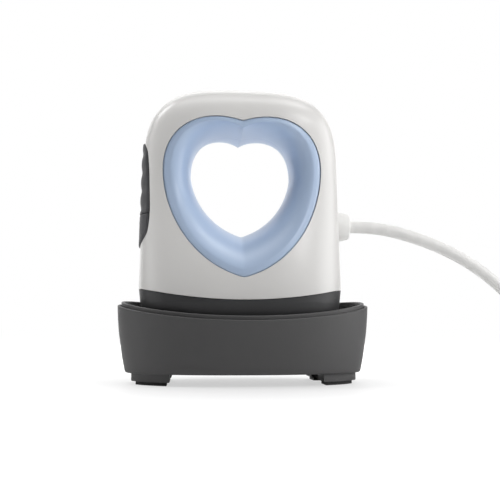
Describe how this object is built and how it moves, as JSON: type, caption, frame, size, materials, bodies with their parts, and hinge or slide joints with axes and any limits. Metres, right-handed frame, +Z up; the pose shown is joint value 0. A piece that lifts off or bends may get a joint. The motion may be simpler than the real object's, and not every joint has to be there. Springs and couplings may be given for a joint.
{
  "type": "mini handheld heat press",
  "caption": "Mini handheld heat press: rounded white handle around a heart-shaped hand hole, dark skirt and hot plate, standing in an oval boat-shaped cradle, with mains cord.",
  "frame": {"origin": "on the table, below the middle of the cradle (middle of the underside of the bounding box, cord left out)", "axes": "+Z up, +X along the press towards the end where the cord leaves, front faces -Y"},
  "size_m": [0.3723, 0.1166, 0.1666],
  "materials": {
    "handle_white": "satin moulded ABS, off-white",
    "bezel_blue": "satin moulded ABS, powder blue",
    "grip_rubber": "dark grey thermoplastic rubber",
    "button_grey": "dark grey moulded plastic",
    "lens_clear": "milky clear light window",
    "skirt_grey": "dark grey heat-resistant plastic",
    "cradle_grey": "dark grey fine-textured plastic",
    "silicone": "silicone",
    "foot_rubber": "black rubber",
    "plate_metal": "cast aluminium, dark non-stick coat",
    "element_steel": "sheathed heater tube",
    "ceramic": "white ceramic",
    "fibre": "pressed ceramic fibre",
    "sheet_metal": "bright sheet",
    "screw_steel": "zinc-plated steel",
    "board_green": "circuit board",
    "component_black": "black component moulding",
    "component_yellow": "yellow film capacitor case",
    "component_blue": "blue component coat",
    "terminal_green": "green terminal block",
    "fuse_glass": "glass tube with metal caps",
    "led_clear": "clear LED",
    "plunger_white": "white plunger",
    "lead_sleeve": "silicone-sleeved wire",
    "cord_white": "off-white PVC cord",
    "tie_black": "hook-and-loop strap",
    "blade_brass": "nickel-plated brass"
  },
  "bodies": {
    "cradle": {"cradle_shell": "cradle_grey", "cradle_tray": "cradle_grey", "tray_rest_pads": "silicone", "foot_pads": "foot_rubber", "cradle_screws": "screw_steel", "cord_coil": "cord_white", "coil_tie": "tie_black", "cord_tail": "cord_white", "plug_body": "cord_white", "plug_blades": "blade_brass"},
    "press": {"front_shell": "handle_white", "rear_shell": "handle_white", "front_heart_bezel": "bezel_blue", "rear_heart_bezel": "bezel_blue", "shell_screws": "screw_steel", "grip_pad": "grip_rubber", "switch_board": "board_green", "tact_switch_body": "component_black", "indicator_leds": "led_clear", "lower_skirt": "skirt_grey", "heat_plate": "plate_metal", "heating_element": "element_steel", "element_insulators": "ceramic", "insulation_pad": "fibre", "heat_shield": "sheet_metal", "ceramic_spacers": "ceramic", "plate_screws": "screw_steel", "thermistor": "component_black", "thermal_fuse": "fuse_glass", "sensor_clips": "sheet_metal", "control_board": "board_green", "board_screws": "screw_steel", "dropper_capacitor": "component_yellow", "triac": "component_black", "triac_heat_sink": "sheet_metal", "board_fuse": "fuse_glass", "varistor": "component_blue", "control_chip": "component_black", "terminal_block": "terminal_green", "mains_leads": "lead_sleeve", "heater_leads": "lead_sleeve", "switch_leads": "lead_sleeve", "cord_strain_relief": "cord_white", "cord_inside_end": "cord_white", "cord_clamp": "component_black", "clamp_screws": "screw_steel", "power_cord": "cord_white"},
    "button": {"mode_button": "button_grey", "indicator_lens": "lens_clear"},
    "switch_plunger": {"tact_switch_plunger": "plunger_white"}
  },
  "joints": [
    {"name": "press_lift", "type": "slide", "parent": "cradle", "child": "press", "axis": [0, 0, 1], "range_m": [0, 0.06]},
    {"name": "button_press", "type": "slide", "parent": "press", "child": "button", "axis": [1, 0, 0], "range_m": [0, 0.0009], "stiffness_N_per_m": 2500, "springref_m": -0.0004},
    {"name": "plunger_travel", "type": "slide", "parent": "press", "child": "switch_plunger", "axis": [1, 0, 0], "range_m": [0, 0.0009]}
  ],
  "couplings": [
    {"joint": "plunger_travel", "follows": "button_press", "ratio": 1}
  ]
}
